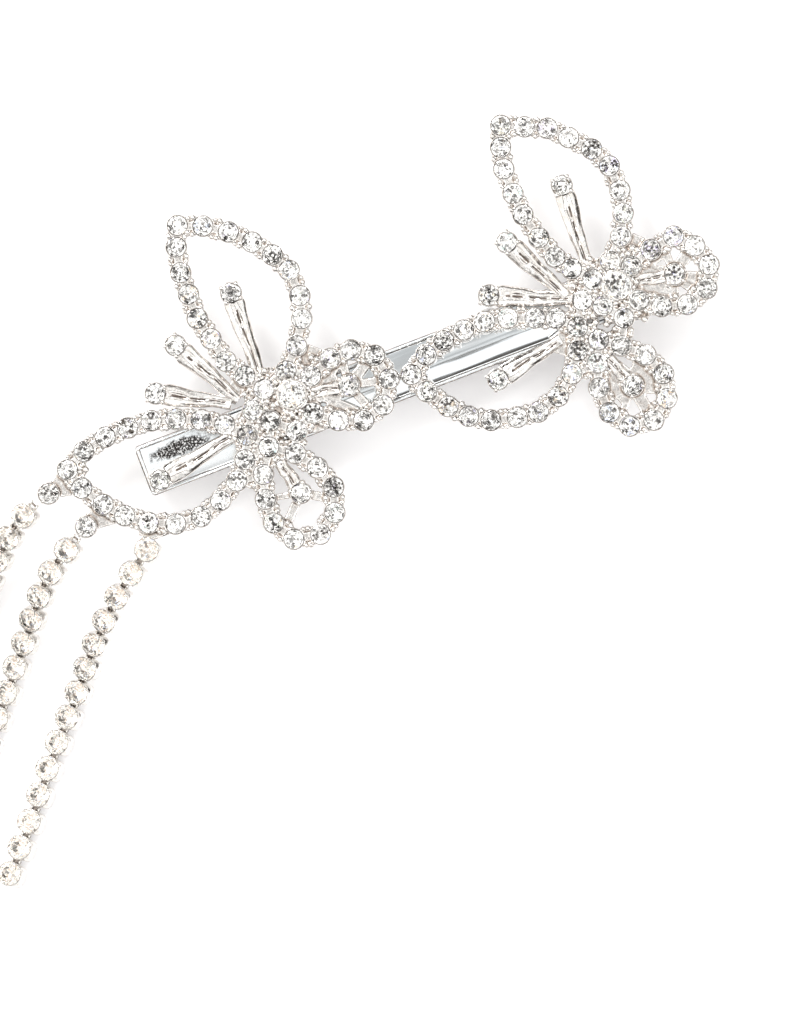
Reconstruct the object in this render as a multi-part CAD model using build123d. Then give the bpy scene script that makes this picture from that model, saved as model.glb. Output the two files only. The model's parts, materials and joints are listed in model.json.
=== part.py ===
from build123d import *
import json
import math
import os

# Double-butterfly rhinestone hair clip, millimetres, +Z up, lying on its clip side.
# X runs along the clip bar, Y across it.  Every piece is first drawn with the left end of the
# bar at X = 0; the whole assembly is then moved so that the middle of its footprint is the origin.

# ------------------------------------------------------------------ driving dimensions
BAR_L, BAR_W, BAR_T = 58.0, 6.0, 0.8      # polished top plate of the clip
BAR_Z = 5.6                               # underside of the top plate
PIN_X, PIN_Z, PIN_R = 43.0, 3.4, 0.6      # rivet the jaw turns on
EAR_T, EAR_R = 0.8, 1.5                   # ears folded down from the top plate
JAW_W, JAW_T = 4.2, 0.6                   # lower jaw strip
JAW_OPEN_DEG = 19.0                       # opening at which the lever meets the plate
SPRING_WIRE, SPRING_R = 0.25, 1.18        # torsion spring wire radius and coil mean radius

CAST_Z0 = 6.9                             # underside of both castings
SHOULDER_Z = 7.7                          # ledge that the stones sit on
RIM_Z = 8.15                              # top of the seat walls
BEAD_Z = 8.55                             # top of the bead prongs
STONE_R = 1.02                            # wing stones
HOLE_R, SEAT_R, WALL_R = 0.80, 1.06, 1.24
CENTRE_R = 1.5                            # big stone in the middle of each body
BEAD_R, BEAD_BASE_R, BEAD_OFF = 0.24, 0.36, 0.9

PITCH = 3.19                              # cup chain, hinge to hinge
CUP_R, CUP_BASE = 1.33, -0.36             # cup rim radius, and the cup's base below the hinge line
CUP_BODY_X, CUP_BODY_Y = 2.0, 2.44        # cup body along and across the strand
ROLL_DEG = 15.0                           # the cups lie rolled over on one edge
CHAIN_STONE_R = 1.17
LINKS = {1: 13, 2: 13, 3: 13}             # jointed cups in each strand
EYE_R, EYE_L, EYE_HOLE_R = 0.34, 0.5, 0.17
EAR_IN, EAR_OUT, LINK_PIN_R = 0.31, 0.53, 0.13

# ------------------------------------------------------------------ stone centres (X, Y)
LEFT = {
    "wings": [
        (13.69, 24.75), (12.67, 22.5), (12.11, 19.61), (12.04, 17.0), (12.0, 14.07), (12.64, 11.37), (13.32, 8.39), (14.73, 6.03),
        (16.37, 23.65), (18.84, 21.99), (20.93, 19.95), (22.57, 17.77), (23.71, 15.46), (23.82, 12.31), (23.09, 9.81), (21.42, 7.12),
        (12.56, -0.34), (10.59, 1.67), (8.3, 3.17), (5.64, 4.31), (2.95, 5.1), (0.18, 5.29), (-2.58, 5.24), (-5.43, 4.59), (-7.91, 3.3),
        (-7.15, 0.77), (-5.54, -1.83), (-3.72, -3.89), (-1.52, -5.61), (1.36, -6.84), (4.35, -7.11), (7.08, -6.17), (9.58, -4.77), (11.32, -2.85),
        (21.73, 3.34), (24.49, 4.41), (27.06, 4.49), (29.33, 2.94), (29.91, -0.15), (28.24, -2.69), (25.51, -3.53), (22.84, -2.51), (20.48, -0.68),
        (12.67, -5.17), (11.88, -7.9), (11.79, -10.72), (13.29, -13.28), (16.31, -13.82), (18.7, -12.13), (19.62, -9.38), (18.68, -6.67), (16.93, -4.25)],
    "body": [(16.21, 3.88), (19.29, 4.91), (14.18, 2.07), (15.61, 0.21), (18.0, -1.91), (14.37, -2.47)],
    "centre": (18.96, 2.12),
    "arms": [((16.62, 15.4), (16.31, 5.89)), ((8.6, 12.11), (12.58, 4.68)), ((4.55, 7.81), (11.23, 4.21)),
             ((1.52, -1.56), (11.27, 0.18)), ((25.33, 0.8), (20.6, 1.6)), ((15.91, -8.66), (14.9, -4.5))],
    "lugs": [(-10.9, 1.55), (-8.29, -3.51)],
    "webs": [((-10.9, 1.55), (-7.91, 3.3), 1.6), ((-10.9, 1.55), (-7.15, 0.77), 1.5), ((-8.29, -3.51), (-5.54, -1.83), 1.9),
             ((-8.29, -3.51), (-3.72, -3.89), 1.3), ((-2.2, -7.0), (-1.52, -5.61), 2.0), ((-2.2, -7.2), (1.0, -7.3), 1.0),
             ((11.23, 4.21), (12.58, 4.68), 1.8), ((12.58, 4.68), (14.73, 6.03), 1.8), ((11.27, 0.18), (14.18, 2.07), 2.0),
             ((15.91, -8.66), (11.88, -7.9), 0.8), ((15.91, -8.66), (12.54, -12.0), 1.1), ((15.91, -8.66), (19.2, -10.7), 1.1),
             ((25.33, 0.8), (29.91, -0.15), 1.0), ((25.33, 0.8), (25.8, 4.45), 1.0), ((25.33, 0.8), (26.9, -3.1), 1.0)]}
RIGHT = {
    "wings": [
        (52.07, 22.21), (51.16, 19.86), (50.61, 17.47), (50.59, 14.49), (50.78, 11.82), (51.54, 8.72), (52.46, 6.03), (53.76, 4.1),
        (54.52, 21.09), (56.89, 20.0), (58.79, 18.15), (60.76, 15.99), (61.94, 13.49), (62.08, 10.46), (61.47, 7.89), (60.29, 5.56), (58.15, 3.34),
        (50.06, -0.48), (47.86, 0.37), (44.97, 1.44), (42.38, 2.04), (39.81, 2.0), (37.27, 1.69), (34.81, 0.88), (32.44, -0.6),
        (33.38, -3.04), (35.04, -5.48), (36.84, -7.36), (39.03, -8.71), (41.94, -9.45), (44.39, -9.75), (47.15, -8.89), (49.49, -7.07),
        (60.17, 1.95), (62.96, 2.93), (65.89, 3.41), (67.75, 1.52), (68.5, -1.06), (67.3, -3.49), (64.58, -4.4), (61.77, -3.57), (59.59, -1.98),
        (51.79, -9.64), (51.91, -12.69), (53.51, -14.95), (56.32, -15.31), (58.58, -13.54), (59.24, -10.8), (58.13, -8.07), (55.92, -6.11)],
    "body": [(55.57, 2.13), (53.6, 0.34), (55.56, -1.12), (57.29, -3.25), (52.04, -2.33), (53.72, -4.55), (51.08, -4.88), (52.66, -6.95)],
    "centre": (57.82, 0.49),
    "arms": [((56.1, 13.31), (55.56, 4.39)), ((47.95, 9.54), (51.62, 2.36)), ((43.89, 4.65), (51.81, 1.17)),
             ((41.47, -4.66), (48.7, -3.2)), ((64.44, -0.7), (60.0, 0.2)), ((55.48, -10.76), (53.97, -6.84))],
    "lugs": [],
    "webs": [((51.81, 1.17), (53.6, 0.34), 1.8), ((51.62, 2.36), (53.6, 0.34), 1.8), ((48.7, -3.2), (51.08, -4.88), 1.8), ((48.7, -3.2), (52.04, -2.33), 1.8),
             ((55.48, -10.76), (51.79, -9.64), 1.6), ((55.48, -10.76), (52.7, -13.9), 0.9), ((55.48, -10.76), (58.9, -12.2), 1.8), ((55.48, -10.76), (58.13, -8.07), 2.0),
             ((64.44, -0.7), (67.9, -2.3), 1.1), ((64.44, -0.7), (64.4, 3.2), 1.0), ((64.44, -0.7), (63.2, -4.0), 1.0), ((60.0, 0.2), (63.5, -0.5), 2.6)]}

# Centre lines of the strands in plan, from the first hinge outwards.
STRAND_PATH = {
    1: [(-12.9, 0.95), (-15.26, -0.15), (-17.3, -1.85), (-19.2, -3.75), (-21.2, -5.85), (-23.2, -8.1), (-25.14, -10.31), (-27.26, -12.66), (-29.38, -15.01), (-31.5, -17.37),
        (-33.66, -19.82), (-35.78, -22.17), (-37.9, -24.53), (-40.06, -26.98), (-42.07, -29.37), (-44.08, -31.77), (-46.1, -34.2)],
    2: [(-9.8, -4.35), (-11.23, -5.22), (-13.92, -6.9), (-16.18, -9.17), (-17.95, -11.42), (-19.78, -13.54), (-21.83, -15.99), (-23.84, -18.36), (-25.86, -20.75), (-27.98, -23.1),
        (-30.1, -25.45), (-32.11, -27.84), (-34.12, -30.23), (-36.03, -32.67), (-37.94, -35.1), (-39.85, -37.53), (-41.8, -40.0)],
    3: [(-3.97, -9.32), (-5.19, -10.26), (-7.53, -11.95), (-9.7, -13.95), (-11.87, -16.08), (-13.9, -18.35), (-15.88, -20.79), (-18.05, -23.09), (-20.17, -25.39), (-22.34, -27.92),
        (-24.41, -30.38), (-26.4, -32.8), (-28.4, -35.05), (-30.3, -37.21), (-32.2, -39.53), (-34.2, -41.9), (-36.2, -44.3)]}
ROOT_CUP_3 = (-2.75, -8.38)               # first cup of strand 3, soldered under the wing edge
STRAND_SLOPE = {1: [22, 33, 36, 30, 20, 9, 0], 2: [14, 24, 30, 30, 24, 14, 5, 0], 3: [12, 20, 25, 27, 25, 18, 10, 3, 0]}
HINGE_TOP_Z = 7.55                        # height of each strand's first hinge line
# height of the hinge line where a rolled cup lies on the edge of its base
HINGE_REST_Z = -CUP_BASE * math.cos(math.radians(ROLL_DEG)) + CUP_BODY_Y / 2 * math.sin(math.radians(ROLL_DEG))

BODY = {}


def node(name, *solids):
    BODY[name] = solids[0] if len(solids) == 1 else Compound(children=list(solids))


# ------------------------------------------------------------------ faceted stones
def gem(r, table, crown, girdle, pavilion, n=8):
    """Round-cut stone, axis Z, widest at Z = 0: flat table, crown, girdle and pointed pavilion."""
    def ring(rad, z):
        return Pos(0, 0, z) * RegularPolygon(rad, n)
    top = loft([ring(r, girdle), ring(table, girdle + crown)], ruled=True)
    low = loft([ring(0.05, -pavilion), ring(r, 0)], ruled=True)
    return (top + extrude(ring(r, 0), girdle) + low).solid()


WING_GEM = gem(STONE_R, 0.6, 0.34, 0.06, 0.9)
CENTRE_GEM = gem(CENTRE_R, 0.85, 0.5, 0.08, 1.2)
CHAIN_GEM = gem(CHAIN_STONE_R, 0.68, 0.43, 0.06, 0.85)


def gems(points, z, stone=WING_GEM):
    return [Pos(x, y, z) * stone for x, y in points]


# ------------------------------------------------------------------ clip
def rounded(x0, x1, w, z0, z1, r):
    return Pos((x0 + x1) / 2, 0, z0) * extrude(RectangleRounded(x1 - x0, w, r), z1 - z0)


def clip():
    plate = rounded(0, BAR_L, BAR_W, BAR_Z, BAR_Z + BAR_T, 0.45)
    plate = fillet(plate.edges().group_by(Axis.Z)[-1], 0.22)
    for side in (-1, 1):
        y = side * (BAR_W / 2 - EAR_T / 2)
        ear = Pos(PIN_X, y, (PIN_Z + BAR_Z + 0.2) / 2) * Box(2 * EAR_R, EAR_T, BAR_Z + 0.2 - PIN_Z)
        ear += Pos(PIN_X, y, PIN_Z) * Rot(90, 0, 0) * Cylinder(EAR_R, EAR_T)
        plate += ear
    plate -= Pos(PIN_X, 0, PIN_Z) * Rot(90, 0, 0) * Cylinder(PIN_R, BAR_W + 1)
    node("top_bar", plate)

    pin = Pos(PIN_X, 0, PIN_Z) * Rot(90, 0, 0) * Cylinder(PIN_R, BAR_W + 0.6)
    for side in (-1, 1):
        pin += Pos(PIN_X, side * (BAR_W / 2 + 0.2), PIN_Z) * Rot(90, 0, 0) * Cylinder(0.95, 0.4)
    node("hinge_pin", pin)

    # lower jaw: bowed strip, belly and lever both touch the table
    mid = [(0.5, 5.15), (1.6, 4.78), (3, 4.30), (6, 3.25), (10, 2.02), (14, 1.12), (18, 0.52), (21, 0.30), (26, 0.30), (29, 0.42), (33, 0.72),
           (38, 1.12), (41, 1.30), (45, 1.30), (49, 0.95), (53, 0.52), (56, 0.31), (57.6, 0.30)]
    top, bot = [], []
    for i, (x, z) in enumerate(mid):
        a, b = mid[max(i - 1, 0)], mid[min(i + 1, len(mid) - 1)]
        dx, dz = b[0] - a[0], b[1] - a[1]
        m = math.hypot(dx, dz)
        top.append((x - dz / m * JAW_T / 2, z + dx / m * JAW_T / 2))
        zb = z - dx / m * JAW_T / 2
        bot.append((x + dz / m * JAW_T / 2, 0.0 if zb < 0.03 else zb))
    prof = make_face(Polyline(*(top + bot[::-1]), close=True))
    jaw = Plane(origin=(0, JAW_W / 2, 0), x_dir=(1, 0, 0), z_dir=(0, -1, 0)) * extrude(prof, JAW_W)
    for x, z in ((2.6, 4.70), (4.2, 4.15), (5.8, 3.60), (7.4, 3.10), (9.0, 2.60)):
        tooth = make_face(Polyline((x - 0.55, z - 0.25), (x - 0.1, z + 0.45), (x + 0.45, z - 0.35), close=True))
        jaw += Plane(origin=(0, JAW_W / 2 - 0.3, 0), x_dir=(1, 0, 0), z_dir=(0, -1, 0)) * extrude(tooth, JAW_W - 0.6)
    for side in (-1, 1):
        y = side * (JAW_W / 2 - 0.3)
        jaw += Pos(PIN_X, y, (PIN_Z + 1.2) / 2) * Box(2.4, 0.55, PIN_Z - 1.2)
        jaw += Pos(PIN_X, y, PIN_Z) * Rot(90, 0, 0) * Cylinder(1.2, 0.55)
    jaw -= Pos(PIN_X, 0, PIN_Z) * Rot(90, 0, 0) * Cylinder(PIN_R + 0.05, BAR_W + 1)
    # thumb grip on the lever: three cross ribs
    for x in (52.0, 53.4, 54.8):
        jaw += Pos(x, 0, 0.30 + (57.6 - x) * 0.055 + 0.33) * Box(0.5, JAW_W - 0.8, 0.3)
    node("lower_jaw", jaw)

    # torsion spring: three and a half coils round the rivet, one leg under the plate, one on the lever
    turns, pitch = 3.5, 0.56
    h = turns * pitch
    coil = Helix(pitch=pitch, height=h, radius=SPRING_R)
    start = coil @ 0
    wire = sweep(Plane(origin=start, z_dir=coil % 0) * Circle(SPRING_WIRE), path=coil, is_frenet=True)
    wire = Pos(PIN_X, h / 2, PIN_Z) * Rot(90, 0, 0) * wire
    def leg(p, q):
        v = Vector(*q) - Vector(*p)
        return Plane(origin=p, z_dir=v) * Cylinder(SPRING_WIRE, v.length, align=(Align.CENTER, Align.CENTER, Align.MIN))
    e0, e1 = coil @ 0, coil @ 1
    a = (PIN_X + e0.X, h / 2 - e0.Z, PIN_Z + e0.Y)
    b = (PIN_X + e1.X, h / 2 - e1.Z, PIN_Z + e1.Y)
    node("torsion_spring", wire + leg(a, (PIN_X + 6.0, a[1], BAR_Z - SPRING_WIRE - 0.03)) + leg(b, (PIN_X - 5.6, b[1], 1.42 + SPRING_WIRE)))


clip()

node("left_solder_pad", Pos(15.5, 0.2, (BAR_Z + BAR_T + CAST_Z0) / 2) * Box(8.0, 4.6, CAST_Z0 - BAR_Z - BAR_T))
node("right_solder_pad", Pos(54.0, -0.4, (BAR_Z + BAR_T + CAST_Z0) / 2) * Box(6.4, 4.2, CAST_Z0 - BAR_Z - BAR_T))


# ------------------------------------------------------------------ strands
def dist(p, q):
    return math.hypot(p[0] - q[0], p[1] - q[1])


def dense(points, n=40):
    """Catmull-Rom curve through the points, as many short steps."""
    out = []
    for i in range(len(points) - 1):
        p0, p1, p2, p3 = points[max(i - 1, 0)], points[i], points[i + 1], points[min(i + 2, len(points) - 1)]
        for k in range(n):
            t = k / n
            out.append(tuple(0.5 * (2 * p1[c] + (p2[c] - p0[c]) * t + (2 * p0[c] - 5 * p1[c] + 4 * p2[c] - p3[c]) * t * t
                                    + (3 * p1[c] - p0[c] - 3 * p2[c] + p3[c]) * t ** 3) for c in (0, 1)))
    return out + [points[-1]]


def strand_points(s):
    """Hinge points of one strand: equal steps of one pitch, down from the wing to the table."""
    drop, n = HINGE_TOP_Z - HINGE_REST_Z, LINKS[s]
    shape = (STRAND_SLOPE[s] + [0] * n)[:n]
    lo, hi = 0.1, 2.5
    for _ in range(60):
        k = (lo + hi) / 2
        lo, hi = (k, hi) if PITCH * sum(math.sin(math.radians(k * a)) for a in shape) < drop else (lo, k)
    slopes = [k * a for a in shape]
    path, here, i, z = dense(STRAND_PATH[s]), STRAND_PATH[s][0], 0, HINGE_TOP_Z
    out = [Vector(*here, z)]
    for a in slopes:
        step = PITCH * math.cos(math.radians(a))
        while dist(path[i], here) < step:
            i += 1
        u = (Vector(*path[i]) - Vector(*here)).normalized()
        here = (here[0] + u.X * step, here[1] + u.Y * step)
        z -= PITCH * math.sin(math.radians(a))
        out.append(Vector(*here, z))
    out[-1] = Vector(out[-1].X, out[-1].Y, out[-1].Z)
    return out, slopes


def strand_frames(pts):
    frames = []
    for i, (p, q) in enumerate(zip(pts, pts[1:])):
        x = (q - p).normalized()
        z = (Vector(0, 0, 1) - x * x.Z).normalized()
        y = z.cross(x)
        roll = math.radians(ROLL_DEG) * min(1.0, (i + 1) / 3)
        z, y = z * math.cos(roll) - y * math.sin(roll), y * math.cos(roll) + z * math.sin(roll)
        frames.append(((p + q) * 0.5, x, z, y))
    axes = [frames[0][3]] + [(a[3] + b[3]).normalized() for a, b in zip(frames, frames[1:])]
    return frames, axes


# cup: squarish body with a round rim, a seat for the stone and four claws
CUP = Pos(0, 0, CUP_BASE) * extrude(RectangleRounded(CUP_BODY_X, CUP_BODY_Y, 0.45), 0.66 - CUP_BASE)
CUP += Pos(0, 0, (0.5 + 1.0) / 2) * Cylinder(CUP_R, 0.5)
CUP -= revolve(Plane.XZ * make_face(Polyline((0, -0.1), (0.45, -0.1), (1.19, 0.74), (1.19, 1.4), (0, 1.4), close=True)), Axis.Z)
for _k in range(4):
    CUP += Rot(0, 0, 45 + 90 * _k) * Pos(1.195, 0, 1.06) * Box(0.27, 0.42, 0.3)


def eye_at(p, axis, toward, reach=0.9):
    """Tongue that ends in a round eye on the hinge line; toward points back to its own cup."""
    ring = Plane(origin=p, z_dir=axis) * Cylinder(EYE_R, EYE_L)
    bar = Plane(origin=p + toward * (0.22 + reach / 2), x_dir=toward, z_dir=toward.cross(axis).normalized()) * Box(reach, 0.4, 0.3)
    return ring + bar


def eye_hole(p, axis):
    return Plane(origin=p, z_dir=axis) * Cylinder(EYE_HOLE_R, EYE_L + 0.4)


def fork_at(p, axis, toward, reach=0.85):
    """Two ears and the pin between them, on the hinge line."""
    mid = (EAR_IN + EAR_OUT) / 2
    parts = [Plane(origin=p, z_dir=axis) * Cylinder(LINK_PIN_R, 2 * EAR_OUT)]
    for side in (-1, 1):
        parts.append(Plane(origin=p + axis * side * mid, z_dir=axis) * Cylinder(EYE_R, EAR_OUT - EAR_IN))
        parts.append(Plane(origin=p + axis * side * mid + toward * reach / 2, x_dir=toward, z_dir=toward.cross(axis).normalized()) * Box(reach, EAR_OUT - EAR_IN, 0.3))
    return parts


HINGES = []
ROOT_EYES = {}
for s in (1, 2, 3):
    pts, slopes = strand_points(s)
    frames, axes = strand_frames(pts)
    ROOT_EYES[s] = (pts[0], axes[0], frames[0][1] * -1)
    for i, (c, x, z, y) in enumerate(frames):
        place = Plane(origin=c, x_dir=x, z_dir=z)
        link = place * CUP
        for piece in fork_at(pts[i], axes[i], x):
            link += piece
        if i < len(frames) - 1:
            link += eye_at(pts[i + 1], axes[i + 1], x * -1)
            link -= eye_hole(pts[i + 1], axes[i + 1])
        node(f"strand_{s}_link_{i + 1:02d}", link, place * Pos(0, 0, 0.82) * CHAIN_GEM)
        bend = slopes[i] - (slopes[i - 1] if i else 0.0)
        HINGES.append({"strand": s, "link": i + 1, "pos": [pts[i].X, pts[i].Y, pts[i].Z], "axis": [axes[i].X, axes[i].Y, axes[i].Z], "bend": bend})

# the cup of strand 3 that is soldered to the wing edge
_p, _a, _t = ROOT_EYES[3]
_flat = Vector(-_t.X, -_t.Y, 0).normalized()
_root_place = Plane(origin=(ROOT_CUP_3[0], ROOT_CUP_3[1], _p.Z), x_dir=_flat, z_dir=(0, 0, 1))
_cup = _root_place * CUP + eye_at(_p, _a, Vector(-_flat.X, -_flat.Y, 0), 0.8) - eye_hole(_p, _a)
node("strand_3_root_cup", _cup, _root_place * Pos(0, 0, 0.82) * CHAIN_GEM)


# ------------------------------------------------------------------ cast butterflies
def disc(p, r):
    return Pos(p[0], p[1]) * Circle(r)


def band(p, q, w):
    return Pos((p[0] + q[0]) / 2, (p[1] + q[1]) / 2) * Rot(0, 0, math.degrees(math.atan2(q[1] - p[1], q[0] - p[0]))) * Rectangle(dist(p, q), w)


def taper(p, q, wp, wq, cut=0.0):
    """Arm outline from p (stone end) to q (root)."""
    d = dist(p, q)
    u = ((q[0] - p[0]) / d, (q[1] - p[1]) / d)
    n = (-u[1], u[0])
    a = (p[0] + u[0] * cut, p[1] + u[1] * cut)
    b = (q[0] - u[0] * cut, q[1] - u[1] * cut)
    return make_face(Polyline((a[0] + n[0] * wp / 2, a[1] + n[1] * wp / 2), (b[0] + n[0] * wq / 2, b[1] + n[1] * wq / 2),
                              (b[0] - n[0] * wq / 2, b[1] - n[1] * wq / 2), (a[0] - n[0] * wp / 2, a[1] - n[1] * wp / 2), close=True))


def beads(stones, others):
    """Bead prongs each side of every gap between neighbouring stones, where there is room."""
    out = []
    for i, p in enumerate(stones):
        for q in stones[i + 1:]:
            d = dist(p, q)
            if d > 3.25:
                continue
            m, n = ((p[0] + q[0]) / 2, (p[1] + q[1]) / 2), (-(q[1] - p[1]) / d, (q[0] - p[0]) / d)
            for side in (-1, 1):
                b = (m[0] + n[0] * BEAD_OFF * side, m[1] + n[1] * BEAD_OFF * side)
                if min(dist(b, t) - r for t, r in others) > BEAD_R + 0.03 and all(dist(b, o) > 0.62 for o in out):
                    out.append(b)
    return out


def casting(part, foreign, eyes):
    small = part["wings"] + part["body"] + [a[0] for a in part["arms"]] + part["lugs"]
    run = part["wings"] + part["body"]
    clear = [(p, SEAT_R) for p in small] + [(part["centre"], 1.72)] + [(p, 1.75) for p in foreign]
    spots = beads(run + [part["centre"]], clear)
    shapes = [disc(p, WALL_R) for p in run] + [disc(a[0], 1.3) for a in part["arms"]] + [disc(p, 1.36) for p in part["lugs"]]
    shapes += [disc(part["centre"], 1.9)] + [disc(b, BEAD_BASE_R) for b in spots]
    for i, p in enumerate(run):
        shapes += [band(p, q, 1.7) for q in run[i + 1:] if dist(p, q) < 3.35]
    shapes += [band(p, part["centre"], 1.8) for p in run if dist(p, part["centre"]) < 3.6]
    shapes += [band(p, q, w) for p, q, w in part["webs"]]
    arms = [taper(p, q, 2.7 if dist(p, q) > 5 else 2.0, 1.5) for p, q in part["arms"]]
    outline = Sketch() + shapes + arms
    flutes = []
    for p, q in part["arms"]:
        d = dist(p, q)
        u = ((q[0] - p[0]) / d, (q[1] - p[1]) / d)
        a = (p[0] + u[0] * 1.75, p[1] + u[1] * 1.75)
        if d > 5:
            flutes.append(taper(a, (q[0] - u[0] * 0.6, q[1] - u[1] * 0.6), 0.75, 0.4))
    low = outline - [disc(p, HOLE_R) for p in small] - [disc(part["centre"], 1.2)]
    high = outline - [disc(p, SEAT_R) for p in small] - [disc(part["centre"], CENTRE_R + 0.04)]
    if flutes:
        high = high - flutes
    body = Pos(0, 0, CAST_Z0) * extrude(low, SHOULDER_Z - CAST_Z0)
    body += Pos(0, 0, SHOULDER_Z) * extrude(high, RIM_Z - SHOULDER_Z)
    tops = Sketch() + [disc(b, BEAD_R) for b in spots]
    for p, q in part["arms"]:
        d = dist(p, q)
        u = ((q[0] - p[0]) / d, (q[1] - p[1]) / d)
        for k in range(4):
            t = math.atan2(u[1], u[0]) + math.pi / 4 + k * math.pi / 2
            tops += disc((p[0] + 1.2 * math.cos(t), p[1] + 1.2 * math.sin(t)), 0.16 if k % 2 else 0.16)
    tops += disc(part["centre"], 1.7) - disc(part["centre"], CENTRE_R + 0.04)
    body += Pos(0, 0, RIM_Z) * extrude(tops, BEAD_Z - RIM_Z)
    # ledge of the big stone stands 0.4 higher than the others
    ring = Pos(*part["centre"]) * (Circle(CENTRE_R + 0.04) - Circle(1.2))
    body += Pos(0, 0, SHOULDER_Z) * extrude(ring, 0.4)
    for (p, axis, toward), lug in zip(eyes, part["lugs"]):
        flat = (Vector(*lug) - Vector(p.X, p.Y)).normalized()
        body += eye_at(p, axis, flat, dist(lug, (p.X, p.Y)) - 0.22 - 0.9)
        body -= eye_hole(p, axis)
    solids = body.solids()
    return max(solids, key=lambda s: s.volume), len(solids), spots


left, n_left, left_beads = casting(LEFT, RIGHT["wings"], [ROOT_EYES[1], ROOT_EYES[2]])
right, n_right, right_beads = casting(RIGHT, LEFT["wings"], [])
print("castings", n_left, n_right, "beads", len(left_beads), len(right_beads))
# the root cup of strand 3 is soldered into a notch in the left casting
left -= _root_place * Pos(0, 0, 0.4) * Cylinder(CUP_R + 0.02, 1.6)
left = max(left.solids(), key=lambda s: s.volume)
node("left_butterfly", left)
node("right_butterfly", right)

GIRDLE_Z = SHOULDER_Z + 0.2
for side, part in (("left", LEFT), ("right", RIGHT)):
    node(f"{side}_wing_stones", *gems(part["wings"] + part["lugs"], GIRDLE_Z))
    node(f"{side}_body_stones", *gems(part["body"], GIRDLE_Z))
    node(f"{side}_arm_stones", *gems([a[0] for a in part["arms"]], GIRDLE_Z))
    node(f"{side}_centre_stone", Pos(part["centre"][0], part["centre"][1], SHOULDER_Z + 0.65) * CENTRE_GEM)

# ------------------------------------------------------------------ origin: middle of the footprint, on the table
boxes = [b.bounding_box() for b in BODY.values()]
low = [min(getattr(b.min, c) for b in boxes) for c in "XYZ"]
high = [max(getattr(b.max, c) for b in boxes) for c in "XYZ"]
SHIFT = (-(low[0] + high[0]) / 2, -(low[1] + high[1]) / 2, -low[2])
os.makedirs("parts", exist_ok=True)
for name, shape in BODY.items():
    export_step(Pos(*SHIFT) * shape, f"parts/{name}.step")
print("nodes", len(BODY), "shift", [round(v, 5) for v in SHIFT], "size", [round(high[i] - low[i], 3) for i in range(3)])
print("HINGES " + json.dumps(HINGES))
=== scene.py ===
import json
import math
import random

import bpy
from mathutils import Matrix, Vector

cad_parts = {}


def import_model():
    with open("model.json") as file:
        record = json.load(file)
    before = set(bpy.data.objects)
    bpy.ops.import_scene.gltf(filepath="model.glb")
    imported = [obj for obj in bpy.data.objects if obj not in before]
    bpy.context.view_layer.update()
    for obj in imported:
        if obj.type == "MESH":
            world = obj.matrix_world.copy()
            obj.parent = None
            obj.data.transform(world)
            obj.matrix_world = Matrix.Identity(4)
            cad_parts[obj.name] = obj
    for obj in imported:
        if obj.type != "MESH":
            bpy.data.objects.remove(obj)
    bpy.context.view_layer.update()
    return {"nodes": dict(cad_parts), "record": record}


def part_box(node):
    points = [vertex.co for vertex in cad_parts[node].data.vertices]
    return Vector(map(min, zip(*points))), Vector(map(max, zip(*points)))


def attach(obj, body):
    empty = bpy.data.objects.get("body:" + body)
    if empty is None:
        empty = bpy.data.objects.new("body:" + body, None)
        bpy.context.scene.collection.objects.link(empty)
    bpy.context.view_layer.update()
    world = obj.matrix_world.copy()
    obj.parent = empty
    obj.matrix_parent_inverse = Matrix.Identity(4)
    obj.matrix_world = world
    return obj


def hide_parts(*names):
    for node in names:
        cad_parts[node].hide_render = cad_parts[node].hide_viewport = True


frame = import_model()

NODES, RECORD = frame["nodes"], frame["record"]
MM = 0.001


def v3(p):
    return Vector((float(p[0]), float(p[1]), float(p[2])))


# The clip bar's low corner fixes the part's own construction frame: X = 0 at the bar's free end, Y = 0 on its centre line.
_lo, _hi = (v3(c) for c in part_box("top_bar"))
SX, SY = _lo.x * 1000, (_lo.y + _hi.y) * 500
BAR_L, BAR_W, BAR_TOP = (_hi.x - _lo.x) * 1000, (_hi.y - _lo.y) * 1000, _hi.z * 1000
BAR_T = 0.8


def W(x, y, z):
    """Construction millimetres to row millimetres."""
    return Vector((x + SX, y + SY, z))


# ------------------------------------------------------------------ mesh building, in row millimetres
class Build:
    def __init__(self):
        self.v, self.f, self.m, self.s = [], [], [], []

    def add(self, verts, faces, mat=0, smooth=True, place=None):
        n = len(self.v)
        if place is not None:
            verts = [place @ Vector(p) for p in verts]
        self.v += [tuple(p) for p in verts]
        mats = mat if isinstance(mat, list) else [mat] * len(faces)
        self.f += [tuple(i + n for i in f) for f in faces]
        self.m += mats
        self.s += [smooth] * len(faces)

    def mesh(self, name, scale=MM):
        me = bpy.data.meshes.new(name)
        me.from_pydata([(a * scale, b * scale, c * scale) for a, b, c in self.v], [], self.f)
        me.polygons.foreach_set("material_index", self.m)
        me.polygons.foreach_set("use_smooth", self.s)
        me.validate()
        me.update()
        return me


def obj(name, mesh, mats):
    for m in mats:
        mesh.materials.append(m)
    o = bpy.data.objects.new(name, mesh)
    bpy.context.scene.collection.objects.link(o)
    return o


def at(origin, x=None, z=(0, 0, 1)):
    """4x4 that carries local axes to origin, with local X towards x and local Z towards z."""
    z = Vector(z).normalized()
    x = Vector(x) if x is not None else (Vector((1, 0, 0)) if abs(z.x) < 0.9 else Vector((0, 1, 0)))
    x = (x - z * x.dot(z)).normalized()
    y = z.cross(x)
    m = Matrix((x, y, z)).transposed().to_4x4()
    m.translation = Vector(origin)
    return m


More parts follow.
